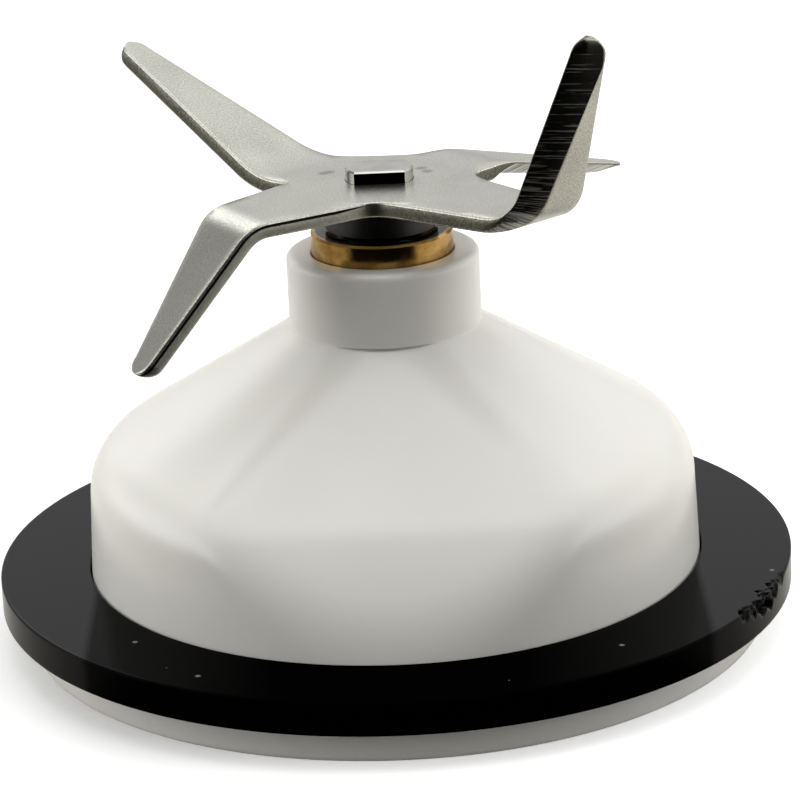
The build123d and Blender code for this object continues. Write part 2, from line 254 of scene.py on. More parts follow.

# %% [markdown]
# ## Marks of the work on steel
# Four marks tell how the steel was worked. The grinding wheel scores the bevels with deep lines, fewer
# towards a tip. The punch that stakes the blade to its shaft leaves dents beside the hole, painted dark as
# painted shade. Shearing burnishes the upper part of a rim to a mirror line, painted black as a painted dark
# reflection, and tears the rest, painted pale as a painted highlight of the light its tear scatters. The
# milled flats of the shaft's end are painted near-black, a painted dark reflection. Each mark is a mask that
# changes the roughness or the colour, and each has a function of its own, because only one finish carries
# it.


# %% Marks of the work
def score_lines(tree, place, grain, rough, share):
    """Roughness with deep grinding lines over a share of the bevel, fewer towards the arm's tip."""
    along = add(tree, "SeparateXYZ", {0: place}).outputs["X"]
    fall = add(tree, "MapRange", {"Value": along, "From Min": 20 * mm, "From Max": 36 * mm, "To Max": 0.14})
    fewer = add(tree, "Math", {0: grain, 1: fall}, operation="SUBTRACT")
    deep = add(tree, "MapRange", {"Value": fewer, "From Min": 1 - share, "From Max": 1.06 - share})
    return add(tree, "Mix", {"Factor": deep, "A": rough, "B": 0.54})


def stake_dent_shade(tree, place, grain, tone, marks):
    """Colour with the staking punch's dents drawn as painted shade."""
    dent_shade = add(tree, "Math", {0: near(tree, place, marks, 0.7), 1: grain}, operation="MULTIPLY")
    return add(tree, "Mix", {"Factor": dent_shade, "A": tone, "B": srgb("#1E1D19")}, data_type="RGBA")


def shear_bands(tree, rim_map, grain, tone):
    """Colour of a sheared rim, from a map of how deep it is burnished and how far down a point lies, with
    the burnished line's dark reflection and the tear's scattered light painted in.
    """
    burnished, below, _ = add(tree, "SeparateXYZ", {0: add(tree, "UVMap", uv_map=rim_map)}).outputs
    # The burnished line is painted black, a painted dark reflection, and the tear pale, a painted highlight.
    start = add(tree, "MapRange", {"Value": below, "From Min": 0.22 * mm, "From Max": 0.26 * mm})
    spare = add(tree, "Math", {0: burnished, 1: below}, operation="SUBTRACT")
    stop = add(tree, "MapRange", {"Value": spare, "From Min": 0.0, "From Max": 0.05 * mm})
    black_reflection = add(tree, "Math", {0: start, 1: stop}, operation="MULTIPLY")
    torn = add(tree, "MapRange", {"Value": burnished, "From Max": 0.5 * mm, "To Max": 0.8})
    pale = add(tree, "Math", {0: torn, 1: grain}, operation="MULTIPLY")
    tone = add(tree, "Mix", {"Factor": pale, "A": tone, "B": srgb("#E2E1D6")}, data_type="RGBA")
    return add(tree, "Mix", {"Factor": black_reflection, "A": tone, "B": srgb("#11110F")}, data_type="RGBA")


def flats_painted_dark(tree, normal, tone, colour):
    """Colour with the two faces that look along Y, the milled flats, painted near-black as a painted dark
    reflection.
    """
    along = add(tree, "SeparateXYZ", {0: normal}).outputs["Y"]
    square = add(tree, "Math", {0: along}, operation="ABSOLUTE")
    flat = add(tree, "MapRange", {"Value": square, "From Min": 0.93, "From Max": 0.98})
    return add(tree, "Mix", {"Factor": flat, "A": tone, "B": srgb(colour)}, data_type="RGBA")


stake_marks = [(-4.73, 2.89, 0), (-5.2, 2.5, 0), (3.94, 2.91, 0), (4.5, 1.7, 0)]
print(len(stake_marks), "stake marks")

# %% [markdown]
# ## Steel
# The blade is rolled stainless sheet, tumbled after stamping, so its faces are satin with a fine grain.
# Its sheared rims are coarser and its ground bevels carry lines across the edge. The shaft is turned
# and ground. All are the same metal, so one function takes the grain's size in mm, its stretch along each
# axis, its depth in mm and its roughness. The grain is coarser than real, or the picture would lose it.
# The blade's pattern follows the sheet, through the maps that the blade's mesh carries, so that it bends
# with the arms.


# %% Steel
def steel(name, light, dark, grain, low, high, stretch=(1, 1, 1), on_map=None, depth=0.012, scored=0,
          flats=None, stakes=(), sheared=None):
    """Stainless or spring steel: two tones in a grain of the given size, with uneven roughness."""
    material, tree = new_material(name)
    solid = add(tree, "TexCoord")
    place = add(tree, "UVMap", uv_map=on_map) if on_map else solid.outputs["Object"]
    lay = add(tree, "Mapping", {"Vector": place, "Scale": stretch})
    fine = add(tree, "TexNoise", {"Vector": lay, "Scale": per(grain), "Detail": 3})
    patch = add(tree, "TexNoise", {"Vector": place, "Scale": per(5), "Detail": 3})
    both = add(tree, "Mix", {"Factor": 0.2, "A": fine, "B": patch})
    spread = add(tree, "MapRange", {"Value": both, "From Min": 0.3, "From Max": 0.7})
    tone = add(tree, "Mix", {"Factor": spread, "A": srgb(light), "B": srgb(dark)}, data_type="RGBA")
    rough = add(tree, "MapRange", {"Value": spread, "To Min": low, "To Max": high})
    lines = add(tree, "Bump", {"Strength": 0.35, "Distance": depth * mm, "Height": fine})
    if scored:
        rough = score_lines(tree, place, fine, rough, scored)
    # The stake dents are painted shade.
    if stakes:
        tone = stake_dent_shade(tree, place, fine, tone, stakes)
    # The sheared rim carries a painted reflection and a painted highlight.
    if sheared:
        tone = shear_bands(tree, sheared, fine, tone)
    # The milled flats get a painted dark reflection.
    if flats:
        tone = flats_painted_dark(tree, solid.outputs["Normal"], tone, flats)
    shader = add(tree, "BsdfPrincipled", {
        "Base Color": tone, "Metallic": 1.0, "Roughness": rough, "Normal": lines})
    add(tree, "OutputMaterial", {"Surface": shader})
    return material


# The satin sheet carries the painted shade of the stake dents.
blade_satin = steel("satin_stainless_sheet", "#CECDC4", "#8E8D83", 0.16, 0.24, 0.34, on_map="sheet",
                    depth=0.045, stakes=stake_marks)
blade_rim = steel("sheared_stainless_rim", "#7C7B6E", "#3F3E36", 0.2, 0.3, 0.46, depth=0.04, sheared="rim")
blade_bevel = steel("ground_stainless_bevel", "#A2A199", "#6C6B64", 0.16, 0.1, 0.2, stretch=(1, 0.03, 1),
                    on_map="edge", depth=0.02, scored=0.52)
# The shaft's flats are painted near-black, a painted dark reflection.
shaft_steel = steel("turned_stainless_steel", "#C0BFB9", "#A09F98", 0.25, 0.06, 0.12,
                    stretch=(0.1, 0.1, 1), flats="#1C1C1A")
washer_steel = steel("stamped_stainless_steel", "#C6C5C0", "#A9A8A2", 0.2, 0.3, 0.42)
spring_steel = steel("oiled_spring_steel", "#6F6F72", "#565658", 0.2, 0.25, 0.4)
blade_finishes = [blade_satin, blade_rim, blade_bevel]
print("made", [m.name for m in (*blade_finishes, shaft_steel, washer_steel, spring_steel)])

# %% [markdown]
# ## Black nylon and red fibre
# The spacer and the drive coupling are moulded from black nylon, a dull plastic with a spark grain from
# its tool, drawn coarser than real at 0.25 mm. The thrust washer is vulcanised fibre, pressed paper that
# shows its flecks. Both are matt, so a grain in the bump and a mottle in the colour are all they need.


# %% Black nylon and red fibre
def dull(name, light, dark, grain, roughness):
    """A matt moulded or pressed surface: two mixed tones and a fine bump."""
    material, tree = new_material(name)
    place = add(tree, "TexCoord").outputs["Object"]
    fine = add(tree, "TexNoise", {"Vector": place, "Scale": per(grain), "Detail": 4})
    tone = add(tree, "Mix", {"Factor": fine, "A": srgb(light), "B": srgb(dark)}, data_type="RGBA")
    rough = add(tree, "MapRange", {"Value": fine, "To Min": roughness - 0.06, "To Max": roughness + 0.08})
    skin = add(tree, "Bump", {"Strength": 0.3, "Distance": 0.02 * mm, "Height": fine})
    shader = add(tree, "BsdfPrincipled", {
        "Base Color": tone, "Roughness": rough, "IOR": 1.53, "Normal": skin})
    add(tree, "OutputMaterial", {"Surface": shader})
    return material


black_nylon = dull("moulded_black_nylon", "#161616", "#0B0B0B", 0.25, 0.45)
red_fibre = dull("vulcanised_red_fibre", "#7A3524", "#5A2417", 0.4, 0.7)
print("made", black_nylon.name, "and", red_fibre.name)

# %% [markdown]
# ## Solids that keep their shape
# The bushes, seal, shaft, spacer, washers, ring and coupling are right as the solid model has them, and
# most of them hide inside. Each takes its finish, and a small bevel where a real edge is broken, so that
# every rim catches a line of light.

# %% Finish the carried-over solids
solid_finish = {
    "upper_bush": turned_brass, "lower_bush": turned_brass, "shaft_seal": seal_rubber,
    "shaft": shaft_steel, "blade_spacer": black_nylon, "fibre_washer": red_fibre,
    "steel_washer": washer_steel, "retaining_ring": spring_steel, "drive_coupling": black_nylon,
}
edge_break = 0.08 * mm
for name, finish in solid_finish.items():
    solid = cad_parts[name]
    solid.data.materials.clear()
    solid.data.materials.append(finish)
    bevel = solid.modifiers.new("edge_break", "BEVEL")
    bevel.width = edge_break
    bevel.segments = 2
    bevel.limit_method = "ANGLE"
    bevel.angle_limit = math.radians(40)
    bevel.harden_normals = True
print("finished", len(solid_finish), "solids")

# %% [markdown]
# ## A profile with rounded corners
# The base and the gasket are round, so both come from a profile turned about the shaft. The profile is
# a list of corners, each with its own radius, and one function turns it into evenly spaced points. A bevel
# modifier could round the corners later, but it would also round the seams of the facets.


# %% Profile
def rounded(corners, step):
    """Points along a closed outline of (radius, height, corner round), no further apart than step."""
    outline = []
    count = len(corners)
    for index in range(count):
        before, here, after = (np.array(corners[(index + k) % count][:2], float) for k in (-1, 0, 1))
        rounding = corners[index][2]
        back = (before - here) / np.linalg.norm(before - here)
        on = (after - here) / np.linalg.norm(after - here)
        half = math.acos(np.clip(back @ on, -1, 1)) / 2
        middle = here + (back + on) / np.linalg.norm(back + on) * rounding / math.sin(half)
        first = here + back * rounding / math.tan(half) - middle
        last = here + on * rounding / math.tan(half) - middle
        sweep = math.pi - 2 * half
        turns = max(4, math.ceil(sweep * rounding / step))
        for share in np.linspace(0, 1, turns + 1):
            spoke = first * math.sin((1 - share) * sweep) + last * math.sin(share * sweep)
            outline.append(middle + spoke / math.sin(sweep))
    points = []
    for here, after in zip(outline, outline[1:] + outline[:1]):
        pieces = max(1, math.ceil(np.linalg.norm(after - here) / step))
        points += [here + (after - here) * k / pieces for k in range(pieces)]
    return np.array(points)


print("profile ready")

# %% [markdown]
# ## A lathe
# Turning the profile gives a grid of rows and columns. A plain screw modifier would do for a ring, but the
# base has flat facets and the gasket is torn, so the grid lets a second function move each point before
# the mesh is made.


# %% Lathe
def turned(name, profile, angles, shape):
    """Object from a closed profile in mm turned about +Z, with each point's radius and height reshaped."""
    turn, radius = np.meshgrid(angles, profile[:, 0])
    height = np.meshgrid(angles, profile[:, 1])[1]
    radius, height = shape(turn, radius, height)
    points = np.stack([radius * np.cos(turn), radius * np.sin(turn), height], -1).reshape(-1, 3) * mm
    here = np.arange(turn.size).reshape(turn.shape)
    up = np.roll(here, -1, axis=0)
    faces = np.stack([here, np.roll(here, -1, axis=1), np.roll(up, -1, axis=1), up], -1).reshape(-1, 4)
    mesh = bpy.data.meshes.new(name)
    mesh.from_pydata(points.tolist(), [], faces.tolist())
    mesh.validate()
    mesh.shade_smooth()
    piece = bpy.data.objects.new(name, mesh)
    bpy.context.scene.collection.objects.link(piece)
    return piece


print("lathe ready")

# %% [markdown]
# ## Sizes of the white base
# The moulding is a flange, a drafted skirt, a round shoulder, a shallow dome and a neck, all in mm and,
# but for the brow, the same as in the solid model. It is hollow below, with a tube in the middle that
# holds the bearings. The dome's front and back are cut by a flat facet, and an arc, the brow, leads from
# each facet's lower edge out to the skirt's foot. The brow's arc is flatter here than in the solid, and
# so nearer to the real one.

# %% Sizes of the base
flange_radius, flange_height, flange_edge = 35.4, 3.6, 0.5
gasket_thickness = 3.2
skirt_radius, shoulder_radius, shoulder_height, shoulder_round = 29.4, 28.75, 17.65, 6.0
cone_slope = math.tan(math.radians(31.6))
neck_radius, neck_height, neck_round = 9.1, 7.0, 0.6
wall, tube_radius, tube_bottom, bore_radius = 2.2, 8.62, 12.0, 6.72
facet_slope, facet_reach = math.tan(math.radians(41.4)), 23.4
brow_radius, brow_overrun = 45.0, 0.5
neck_foot = shoulder_height + (shoulder_radius - neck_radius) * cone_slope
neck_top = neck_foot + neck_height
ceiling_drop = wall / math.cos(math.atan(cone_slope))
inner_shoulder = shoulder_radius - wall
inner_height = neck_foot - (inner_shoulder - neck_radius) * cone_slope - ceiling_drop
ceiling = neck_foot - (tube_radius - neck_radius) * cone_slope - ceiling_drop

base_corners = [
    (skirt_radius - wall, 0, 0.15), (flange_radius, 0, flange_edge),
    (flange_radius, flange_height, flange_edge), (skirt_radius, flange_height, 0.3),
    (shoulder_radius, shoulder_height, shoulder_round), (neck_radius, neck_foot, 0.35),
    (neck_radius, neck_top, neck_round), (bore_radius, neck_top, 0.2), (bore_radius, tube_bottom, 0.2),
    (tube_radius, tube_bottom, 0.4), (tube_radius, ceiling, 0.5), (inner_shoulder, inner_height, 1.0),
]

facet_foot = neck_foot - (facet_reach - neck_radius) * facet_slope
brow_top = np.array([facet_reach, facet_foot])
brow_foot = np.array([skirt_radius + brow_overrun, flange_height + gasket_thickness])
chord = brow_foot - brow_top
inwards = np.array([chord[1], -chord[0]]) / np.linalg.norm(chord)
brow_centre = (brow_top + brow_foot) / 2 + inwards * math.sqrt(brow_radius ** 2 - chord @ chord / 4)
print("neck top", round(neck_top, 2), "mm, facet foot", round(facet_foot, 2), "mm")

# %% [markdown]
# ## Facets and brows
# A cutter would leave hard seams, so the facet and the brow are limits on the radius: each point takes the
# smallest of the profile, the facet and the brow, and a soft minimum rounds the joins as the tool's polish
# did. The join of facet and brow is crisp, and the one with the round dome is soft. Inside, the same
# limits, one wall deeper, shape the hollow, and a little slack tells the inner wall from the outer.

# %% Facets and brows
crisp, soft = 0.15, 2.0
slack = 0.1


def soft_least(a, b, width):
    """The smaller of two lengths, blended over a width where they are nearly equal."""
    share = np.clip(0.5 + 0.5 * (b - a) / width, 0, 1)
    return b + (a - b) * share - width * share * (1 - share)


def faceted(turn, radius, height):
    """Pulls the dome's outer and inner walls in to the front and back facets and the brows below."""
    inner = np.interp(height, [0, inner_height, ceiling], [skirt_radius - wall, inner_shoulder, tube_radius])
    inside = (radius < inner + slack) & (height < ceiling + slack / 2)
    depth = np.where(inside, wall, 0)
    facet = neck_radius + (neck_foot - height - depth / math.cos(math.atan(facet_slope))) / facet_slope
    level = np.minimum(height, facet_foot - depth) - brow_centre[1]
    reach = np.sqrt((brow_radius - depth) ** 2 - level ** 2)
    brow = brow_centre[0] + reach - (height - brow_centre[1] - level) * level / reach
    limit = soft_least(facet, brow, crisp) / np.maximum(np.abs(np.sin(turn)), 1e-3)
    pulled = soft_least(radius, limit, soft)
    dome = (height < neck_foot) & (height > flange_height + slack / 10) & (radius > tube_radius + slack / 2)
    radius = np.where(dome & ~inside, np.minimum(radius, pulled), radius)
    radius = np.where(dome & inside, np.maximum(np.minimum(radius, limit), tube_radius), radius)
    return radius, height


print("joins blend over", crisp, "and", soft, "mm")

# %% [markdown]
# ## The white base
# Profile, lathe and facets come together here. Rows half a millimetre apart and 288 columns are fine enough
# for smooth reflections on the dome.

# %% The white base
base_columns = 288
profile = rounded(base_corners, 0.5)
base = turned("white_base", profile, np.linspace(0, math.tau, base_columns, endpoint=False), faceted)
base.data.materials.append(white_polypropylene)
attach(base, "base_unit")
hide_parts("base")
print("base:", len(profile), "rows,", len(base.data.polygons), "faces")

# %% [markdown]
# ## The gasket
# A flat ring of black rubber, square in section with barely broken edges. Years of unscrewing have
# chewed a ragged notch into its outer top edge, at the front right. The ring is turned as the base is, with
# its columns crowded together at the notch. There a coarse and a fine noise decide how deep and how far
# down the rim is torn away, because a drawn list of depths looks like the teeth of a comb.

# %% The torn edge
gasket_radius, gasket_edge, gasket_clearance = 38.0, 0.2, 0.05
gasket_low, gasket_high = flange_height, flange_height + gasket_thickness
torn_from, torn_to = -35.0, -15.5
lump_sizes = 1.4, 0.55
side_fade, foot_fade, sag = 0.3, 0.25, 0.4


def chewed(turn, radius, height):
    """Tears the upper outer rim between two bearings, in lumps of a few tenths of a mm."""
    spots = np.stack(np.broadcast_arrays(radius * np.cos(turn), radius * np.sin(turn), height), -1)
    coarse, fine = [np.apply_along_axis(lambda p: noise.noise(Vector(p) / size), -1, spots)
                    for size in lump_sizes]
    zone = np.interp(np.degrees(turn), [torn_from, -33, -25, -20, torn_to], [0, 0.7, 1.0, 0.5, 0])
    deep = zone * np.clip(0.35 + 0.9 * coarse + 0.5 * fine, 0, 1.2)
    foot = zone * np.clip(1.0 + 1.2 * coarse, 0.3, 1.8)
    outer = np.clip((radius - gasket_radius + deep + side_fade) / side_fade, 0, 1)
    upper = np.clip((foot - gasket_high + height + foot_fade) / foot_fade, 0, 1)
    gone = deep * outer * upper
    return radius - gone, height - sag * gone


print("torn over", torn_to - torn_from, "degrees")

# %% [markdown]
# ## Turn the gasket
# The columns lie 1.2 degrees apart, and a tenth of a degree apart where the rim is torn.

# %% The gasket
gasket_corners = [
    (skirt_radius + gasket_clearance, gasket_low, 0.1), (gasket_radius, gasket_low, gasket_edge),
    (gasket_radius, gasket_high, gasket_edge), (skirt_radius + gasket_clearance, gasket_high, 0.1),
]
even = np.linspace(-math.pi, math.pi, 300, endpoint=False)
close = np.radians(np.arange(torn_from, torn_to, 0.1))
angles = np.sort(np.concatenate([even[(even < close[0]) | (even > close[-1])], close]))
gasket = turned("rubber_gasket", rounded(gasket_corners, 0.2), angles, chewed)
gasket.data.materials.append(gasket_rubber)
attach(gasket, "base_unit")
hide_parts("gasket")
print("gasket:", len(gasket.data.polygons), "faces")

# %% [markdown]
# ## The blade
# The real blade is stamped flat from sheet, ground to an edge on the clockwise side of each arm, and
# bent: two arms up and two down. It is made the same way here, with the left arms and the bevel set nearer
# to the real ones than in the solid, by less than a millimetre. Each arm has a bearing, a lean from it, a
# length along the flat sheet, half widths at the hub and tip, a bend with its start, radius and rise, and a
# notch to the next arm. On one arm the shear left a burnished line, whose depth is given too. All lengths
# are in mm and angles in degrees.

# %% Blade sizes and arms
blade_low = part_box("blade_spacer")[1][2] / mm
sheet = 1.5
top = sheet / 2
hub_station, arm_root = 9.0, 8.6
bevel_inset, bevel_land, bevel_runout, bevel_lead = 2.3, 0.2, 3.0, 0.3
bevel_settle, bevel_wrap = 4.0, 2.05
roll = 0.22
across_count, station_step, tip_stations = 9, 0.4, 10
arm_facts = ["bearing", "lean", "reach", "half", "tip", "bend", "radius", "rise", "notch", "burnish"]
blade_arms = [dict(zip(arm_facts, row)) for row in (
    (42.5, -5.0, 29.6, 4.4, 1.2, 10.3, 10.5, -13.2, 1.0, 0),
    (141.5, 3.0, 32.0, 5.0, 1.2, 8.6, 9.0, 28.9, 2.0, 0),
    (211.3, 7.8, 33.4, 5.2, 1.2, 15.6, 3.5, -45.3, 3.6, 0.55),
    (311.5, 4.0, 37.8, 5.4, 1.4, 17.5, 4.0, 72.2, 2.0, 0),
)]
for arm in blade_arms:
    arm["taper"] = (arm["half"] - arm["tip"]) / (arm["reach"] - hub_station)
    arm["tip_round"] = arm["tip"] / (1 - arm["taper"])
    arm["tip_centre"] = arm["reach"] - arm["tip_round"]
    arm["bevel_start"] = max(arm_root, arm["bend"] - bevel_lead)
print("arms reach", [arm["reach"] for arm in blade_arms], "mm along the sheet")

# %% [markdown]
# ## From the flat blank into space
# The bend is a formula that carries a point of the flat blank into space: straight to the bend's start,
# round an arc, and straight on. A simple deform modifier could bend a flat mesh, but each arm bends along
# its own line, and the formula also tells where a point lay on the blank.


# %% Bend and outline of an arm
def bent(arm, along, aside, up):
    """Point in mm, in space, of a point on the flat blank at a height above mid-sheet."""
    way = math.copysign(1, arm["rise"])
    full = math.radians(abs(arm["rise"]))
    past = along - arm["bend"]
    turn = min(max(past / arm["radius"], 0), full)
    rest = max(past - arm["radius"] * full, 0)
    out = min(along, arm["bend"]) + arm["radius"] * math.sin(turn) + rest * math.cos(turn)
    climb = way * (arm["radius"] * (1 - math.cos(turn)) + rest * math.sin(turn))
    out -= way * up * math.sin(turn)
    climb += up * math.cos(turn)
    outward = Vector((math.cos(math.radians(arm["bearing"])), math.sin(math.radians(arm["bearing"])), 0))
    trailing = Vector((-outward.y, outward.x, 0))
    return outward * out + trailing * aside + Vector((0, 0, blade_low + top + climb))


def arm_edges(arm, along):
    """Offsets of the leading and trailing edges, with the tip's full round."""
    straight = min(along, arm["tip_centre"])
    half = arm["half"] - arm["taper"] * (straight - hub_station)
    if along > arm["tip_centre"]:
        half *= math.sqrt(max(1 - ((along - arm["tip_centre"]) / arm["tip_round"]) ** 2, 0))
    middle = straight * math.tan(math.radians(arm["lean"]))
    return middle - half, middle + half


print("first arm's tip at", [round(v, 1) for v in bent(blade_arms[0], blade_arms[0]["reach"], 0, 0)], "mm")

# %% [markdown]
# ## Sections of an arm
# Each arm is a row of cross-sections along the blank. Near the hub a section is square, and from the bend on
# it is ground from below to a thin leading edge, so that the bevel is one plane. The rims are rounded,
# because tumbling leaves every edge with a bright roll that a sharp corner can't show. A roll has three
# points, the middle one 0.3 of its radius in from both faces. Both kinds of section have as many points,
# so the bevel's run-out is a blend of the two.


# %% Sections of an arm
def rim_outline(lead, trail, knee, lead_roll, trail_roll, under):
    """Start of a closed outline as (aside, up): the top, the trailing rim and the underside to the knee."""
    points = [(a, top) for a in np.linspace(lead + lead_roll, trail - trail_roll, across_count)]
    points += [(trail - 0.3 * trail_roll, top - 0.3 * trail_roll), (trail, top - trail_roll)]
    points += [(trail, under(trail) + trail_roll),
               (trail - 0.3 * trail_roll, under(trail) + 0.3 * trail_roll)]
    return points + [(a, under(a)) for a in np.linspace(trail - trail_roll, knee, across_count)]


def arm_section(arm, along):
    """Cross-section of an arm: square at the hub, and from the bend on ground to a plane under its edge."""
    lead, trail = arm_edges(arm, along)
    first = along * math.tan(math.radians(arm["lean"])) - arm["half"] + arm["taper"] * (along - hub_station)
    inset = np.interp(along, [arm["bend"] + bevel_settle, arm["tip_centre"]],
                      [bevel_inset, bevel_wrap * arm["tip_round"]])
    left = math.sqrt((trail - lead) / 2 / arm["tip_round"]) if along > arm["tip_centre"] else 1

    def ground_under(aside):
        """A plane from the thin leading edge down to the full sheet, thinned again where the tip ends."""
        deep = float(np.interp(aside, [first, first + inset], [0, sheet - bevel_land]))
        return top - bevel_land - deep * left

    edge = min(roll, 0.4 * (trail - lead), 0.4 * (top - ground_under(trail)))
    thin = min(edge, 0.45 * (top - ground_under(lead)))
    knee = min(first + inset, trail - edge - 0.02 * (trail - lead))
    square = rim_outline(lead, trail, lead + edge, edge, edge, lambda aside: -top)
    square += [(lead + 0.3 * edge, -top + 0.3 * edge), (lead, -top + edge)]
    square += [(lead, top - edge), (lead + 0.3 * edge, top - 0.3 * edge)]
    ground = rim_outline(lead, trail, knee, thin, edge, ground_under)
    ground += [((knee + lead) / 2, ground_under((knee + lead) / 2)), (lead, ground_under(lead))]
    ground += [(lead, top - thin), (lead + 0.3 * thin, top - 0.3 * thin)]
    share = min(max((along - arm["bevel_start"]) / bevel_runout, 0), 1)
    return (1 - share) * np.array(square) + share * np.array(ground)


print(len(arm_section(blade_arms[0], arm_root)), "points in a section")

# %% [markdown]
# ## The arms' mesh
# Neighbouring sections are joined by strips of faces, each with the finish of its place: satin on top and
# below, sheared on the rims, ground on the bevel. Every vertex remembers where it lay on the blank, for the
# three maps that the finishes use: the sheet in plan, the place along and across an arm, and the burnished
# depth with the distance below the top.

# %% Build the arms
shape = bmesh.new()
maps = [shape.loops.layers.uv.new(name) for name in ("sheet", "edge", "rim")]
on_blank = {}
finish_top, finish_rim, finish_bevel = range(len(blade_finishes))


def keep(point, in_plan, on_arm, up, burnish):
    """Adds a vertex at a point in mm and remembers its place on the three maps."""
    vertex = shape.verts.new(point * mm)
    on_blank[vertex] = [(x * mm, y * mm) for x, y in (in_plan, on_arm, (burnish, top - up))]
    return vertex


def lay(arm, along, aside, up):
    """Adds a vertex of an arm."""
    bearing = math.radians(arm["bearing"])
    plan = complex(along, aside) * complex(math.cos(bearing), math.sin(bearing))
    return keep(bent(arm, along, aside, up), (plan.real, plan.imag), (along, aside), up, arm["burnish"])


section_finish = [finish_top] * (across_count + 1) + [finish_rim] + [finish_top] * (across_count + 1)
section_finish += [finish_bevel, finish_bevel, finish_rim, finish_top, finish_top]
roots = []
for arm in blade_arms:
    stations = list(np.arange(arm_root, arm["tip_centre"], station_step))
    tip_turns = np.linspace(0, math.pi / 2 - 0.05, tip_stations)
    stations += [arm["tip_centre"] + arm["tip_round"] * math.sin(t) for t in tip_turns]
    rings = [[lay(arm, along, *point) for point in arm_section(arm, along)] for along in stations]
    for inner, outer in zip(rings, rings[1:]):
        for k, finish in enumerate(section_finish):
            n = (k + 1) % len(inner)
            shape.faces.new([inner[k], inner[n], outer[n], outer[k]]).material_index = finish
    shape.faces.new(rings[-1]).material_index = finish_rim
    roots.append(rings[0])
print("arm sections:", sum(len(r) for r in roots), "root points,", len(shape.faces), "faces")

# %% [markdown]
# ## The notches
# Between two arms the blank is cut back in a smooth curve. Each notch is a Bezier curve from one arm's
# trailing edge to the next arm's leading edge, with the same rolled rim as the arms, so that the roll runs
# on without a break. The loops of its upper and lower edge are kept for the flat faces.

# %% Notches between the arms
notch_points = 28
trail_chain = list(range(across_count - 1, across_count + 5))
lead_chain = [0] + list(range(2 * across_count + 7, 2 * across_count + 2, -1))
chain_finish = [finish_top, finish_top, finish_rim, finish_top, finish_top]
notch_rim = [(roll, top), (0.3 * roll, top - 0.3 * roll), (0, top - roll)]
notch_rim += [(inset, -up) for inset, up in reversed(notch_rim)]


def blank_point(arm, side, along):
    """Plan point on an arm's leading (0) or trailing (1) edge."""
    return np.array(bent(arm, along, arm_edges(arm, along)[side], 0)[:2])


def hub_vertex(plan, up, burnish=0.0):
    """Adds a vertex of the flat hub."""
    return keep(Vector((*plan, blade_low + top + up)), plan, plan, up, burnish)


top_loop, low_loop = [], []
for index, arm in enumerate(blade_arms):
    after = (index + 1) % len(blade_arms)
    following, root, next_root = blade_arms[after], roots[index], roots[after]
    a, b = (blank_point(arm, 1, arm_root - pull) for pull in (0, arm["notch"]))
    c, d = (blank_point(following, 0, arm_root - pull) for pull in (arm["notch"], 0))
    chains = [[root[k] for k in trail_chain]]
    for t in np.linspace(0, 1, notch_points)[1:-1]:
        plan = (1 - t) ** 3 * a + 3 * t * (1 - t) ** 2 * b + 3 * t * t * (1 - t) * c + t ** 3 * d
        tangent = (1 - t) ** 2 * (b - a) + 2 * t * (1 - t) * (c - b) + t * t * (d - c)
        inward = np.array([-tangent[1], tangent[0]]) / np.linalg.norm(tangent)
        burnish = (1 - t) * arm["burnish"]
        chains.append([hub_vertex(plan + inward * inset, up, burnish) for inset, up in notch_rim])
    chains.append([next_root[k] for k in lead_chain])
    for first, second in zip(chains, chains[1:]):
        for k, finish in enumerate(chain_finish):
            shape.faces.new([first[k], first[k + 1], second[k + 1], second[k]]).material_index = finish
    top_loop += root[:across_count] + [chain[0] for chain in chains[1:-1]]
    low_loop += root[2 * across_count + 3:across_count + 3:-1] + [chain[-1] for chain in chains[1:-1]]
print("hub outline has", len(top_loop), "points")

# %% [markdown]
# ## The hole and the flat faces
# The shaft's flatted end comes up through a double-D hole. The flat hub is filled in between the rims and
# the hole. The hole's edges are marked sharp, or the smooth shading would draw bright fans round it.

# %% Hole and flat faces of the hub
hole_radius, hole_half = 3.25, 2.2
corner = math.asin(hole_half / hole_radius)
half_turn = np.linspace(-corner, corner, 12)
hole_plan = [np.array([math.cos(t), math.sin(t)]) * hole_radius
             for t in np.concatenate([half_turn, half_turn + math.pi])]
hole_top, hole_low = [[hub_vertex(plan, up) for plan in hole_plan] for up in (top, -top)]
for k in range(len(hole_plan)):
    n = (k + 1) % len(hole_plan)
    shape.faces.new([hole_top[k], hole_top[n], hole_low[n], hole_low[k]]).material_index = finish_rim


def ring_edges(loop):
    """Edges of a closed loop of vertices."""
    pairs = zip(loop, loop[1:] + loop[:1])
    return [shape.edges.get(pair) or shape.edges.new(pair) for pair in pairs]


for outer, inner in ((top_loop, hole_top), (low_loop, hole_low)):
    bmesh.ops.triangle_fill(shape, use_beauty=True, edges=ring_edges(outer) + ring_edges(inner))
bmesh.ops.recalc_face_normals(shape, faces=shape.faces)
for edge in ring_edges(hole_top) + ring_edges(hole_low):
    edge.smooth = False
print("hole", 2 * hole_radius, "by", 2 * hole_half, "mm")

# %% [markdown]
# ## The finished blade
# The maps are written, and the mesh takes the place of the plain solid and turns with the spindle. A
# weighted-normal modifier keeps the large faces flat to the eye while the small rolls catch the light.

# %% The blade
for face in shape.faces:
    face.smooth = True
    for loop in face.loops:
        for layer, spot in zip(maps, on_blank[loop.vert]):
            loop[layer].uv = spot
blade_mesh = bpy.data.meshes.new("steel_blade")
shape.to_mesh(blade_mesh)
shape.free()
for finish in blade_finishes:
    blade_mesh.materials.append(finish)
blade = bpy.data.objects.new("steel_blade", blade_mesh)
bpy.context.scene.collection.objects.link(blade)
weighted = blade.modifiers.new("flat_faces_stay_flat", "WEIGHTED_NORMAL")
weighted.mode = "FACE_AREA"
weighted.keep_sharp = True
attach(blade, "spindle")
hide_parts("blade")
print("blade:", len(blade_mesh.polygons), "faces")

